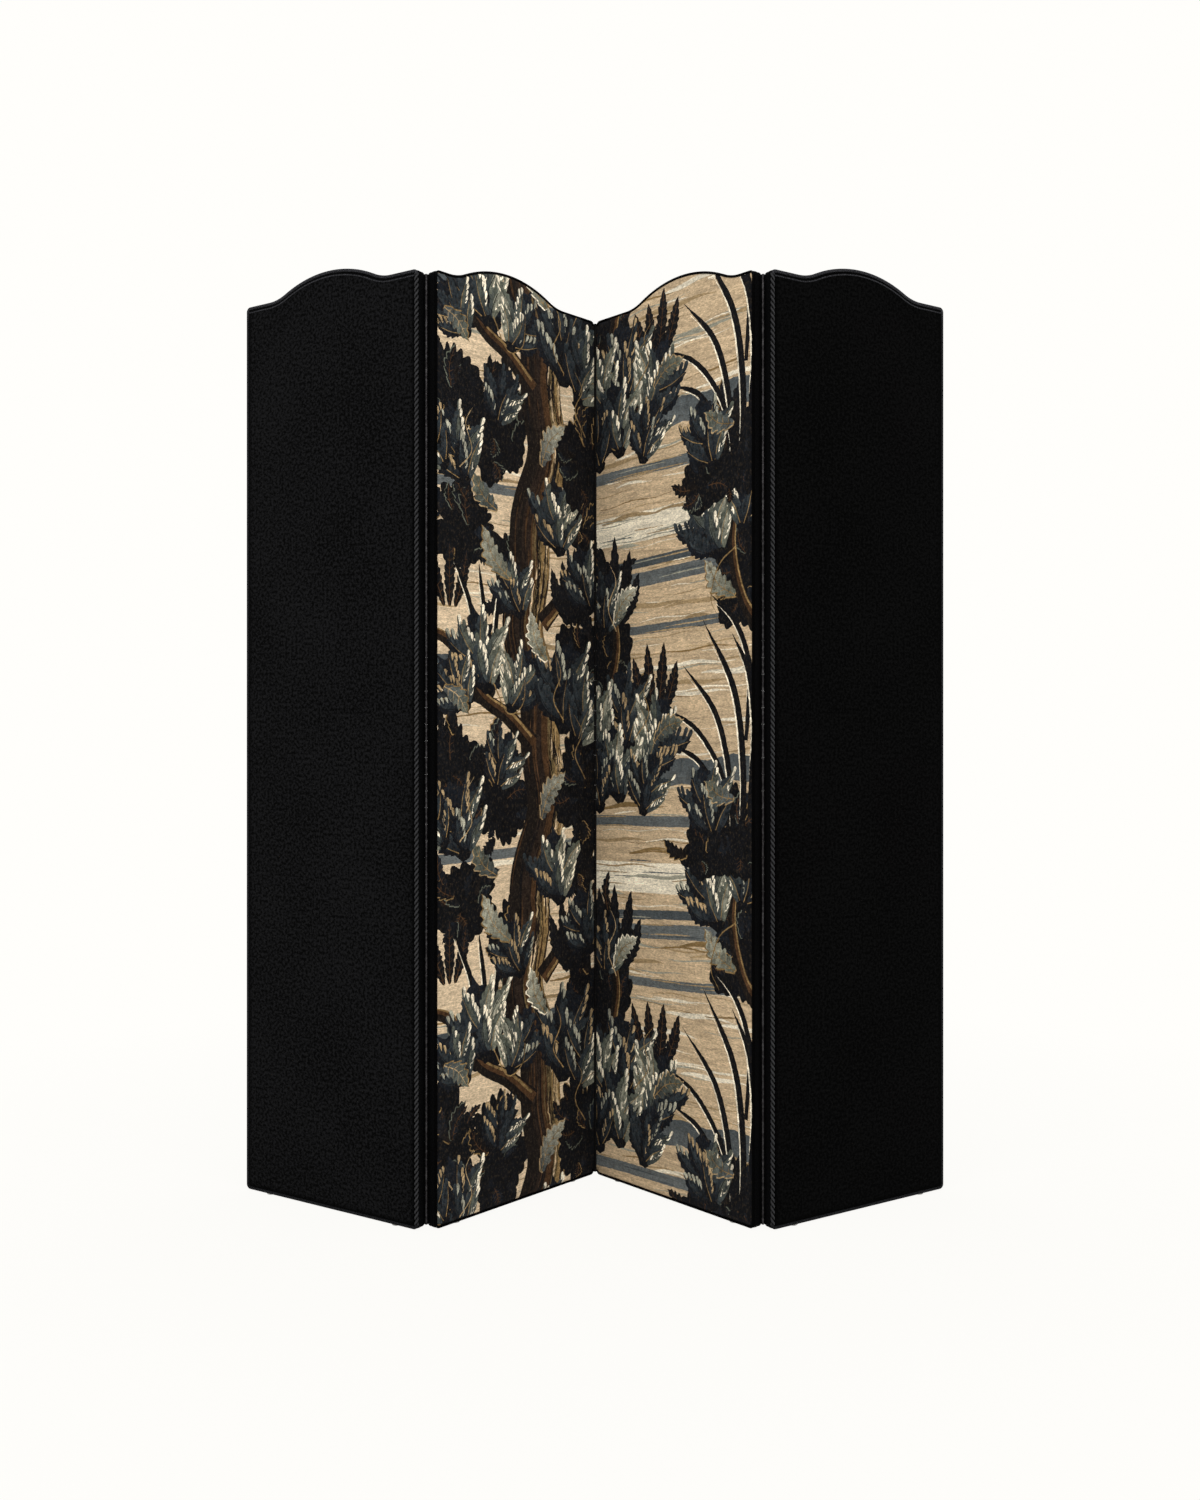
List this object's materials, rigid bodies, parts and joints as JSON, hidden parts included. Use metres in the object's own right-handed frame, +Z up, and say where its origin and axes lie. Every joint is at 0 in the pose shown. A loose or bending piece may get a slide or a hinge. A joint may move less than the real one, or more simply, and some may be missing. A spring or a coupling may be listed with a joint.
{
  "type": "folding screen",
  "caption": "Free-standing upholstered folding screen: serpentine-topped panels in black velvet and woven verdure cloth, hinged in a zigzag.",
  "frame": {"origin": "on the floor, under the middle of the standing screen's bounding box", "axes": "+Z up, +X to the right of someone who faces the cloth fronts, +Y away from them to the back"},
  "size_m": [1.3942, 0.3626, 1.8],
  "materials": {
    "frame_timber": "planed softwood, unfinished",
    "hardboard": "smooth thin hardboard",
    "wadding": "needled polyester wadding",
    "black_velvet": "short-pile black cotton velvet",
    "tapestry": "flat-woven jacquard with a verdure pattern in tan, slate, sage and near black",
    "black_piping": "cord covered in black cotton",
    "black_cord": "two-strand twisted rayon cord",
    "hinge_bronze": "antiqued bronze lacquer on rolled steel",
    "hinge_pin": "drawn steel wire",
    "screw_steel": "antiqued countersunk wood screw",
    "glide_steel": "pressed nail-on glide, nickel plated"
  },
  "bodies": {
    "panel_1": {"panel_1_stiles": "frame_timber", "panel_1_top_rail": "frame_timber", "panel_1_cross_rails": "frame_timber", "panel_1_boards": "hardboard", "panel_1_wadding": "wadding", "panel_1_front_cover": "black_velvet", "panel_1_back_cover": "black_velvet", "panel_1_edge_band": "black_velvet", "panel_1_back_piping": "black_piping", "panel_1_glides": "glide_steel", "panel_1_hinge_screws": "screw_steel", "panel_1_front_cord": "black_cord", "left_hinge_leaf_p1": "hinge_bronze", "left_hinge_pin": "hinge_pin"},
    "panel_2": {"panel_2_stiles": "frame_timber", "panel_2_top_rail": "frame_timber", "panel_2_cross_rails": "frame_timber", "panel_2_boards": "hardboard", "panel_2_wadding": "wadding", "panel_2_front_cover": "tapestry", "panel_2_back_cover": "black_velvet", "panel_2_edge_band": "black_velvet", "panel_2_back_piping": "black_piping", "panel_2_glides": "glide_steel", "panel_2_hinge_screws": "screw_steel", "panel_2_front_piping": "black_piping", "panel_2_seam_strip": "tapestry", "left_hinge_leaf_p2": "hinge_bronze", "centre_hinge_leaf_p2": "hinge_bronze", "centre_hinge_pin": "hinge_pin"},
    "panel_3": {"panel_3_stiles": "frame_timber", "panel_3_top_rail": "frame_timber", "panel_3_cross_rails": "frame_timber", "panel_3_boards": "hardboard", "panel_3_wadding": "wadding", "panel_3_front_cover": "tapestry", "panel_3_back_cover": "black_velvet", "panel_3_edge_band": "black_velvet", "panel_3_back_piping": "black_piping", "panel_3_glides": "glide_steel", "panel_3_hinge_screws": "screw_steel", "panel_3_front_piping": "black_piping", "panel_3_seam_strip": "tapestry", "centre_hinge_leaf_p3": "hinge_bronze", "right_hinge_leaf_p3": "hinge_bronze"},
    "panel_4": {"panel_4_stiles": "frame_timber", "panel_4_top_rail": "frame_timber", "panel_4_cross_rails": "frame_timber", "panel_4_boards": "hardboard", "panel_4_wadding": "wadding", "panel_4_front_cover": "black_velvet", "panel_4_back_cover": "black_velvet", "panel_4_edge_band": "black_velvet", "panel_4_back_piping": "black_piping", "panel_4_glides": "glide_steel", "panel_4_hinge_screws": "screw_steel", "panel_4_front_cord": "black_cord", "right_hinge_leaf_p4": "hinge_bronze", "right_hinge_pin": "hinge_pin"}
  },
  "joints": [
    {"name": "left_fold", "type": "hinge", "parent": "panel_2", "child": "panel_1", "pos_m": [-0.31046, -0.16233, 0], "axis": [0, 0, 1], "range_deg": [-96, 84]},
    {"name": "centre_fold", "type": "hinge", "parent": "panel_2", "child": "panel_3", "pos_m": [0, 0.16721, 0], "axis": [0, 0, 1], "range_deg": [-80, 100]},
    {"name": "right_fold", "type": "hinge", "parent": "panel_3", "child": "panel_4", "pos_m": [0.31046, -0.16233, 0], "axis": [0, 0, -1], "range_deg": [-96, 84]}
  ]
}
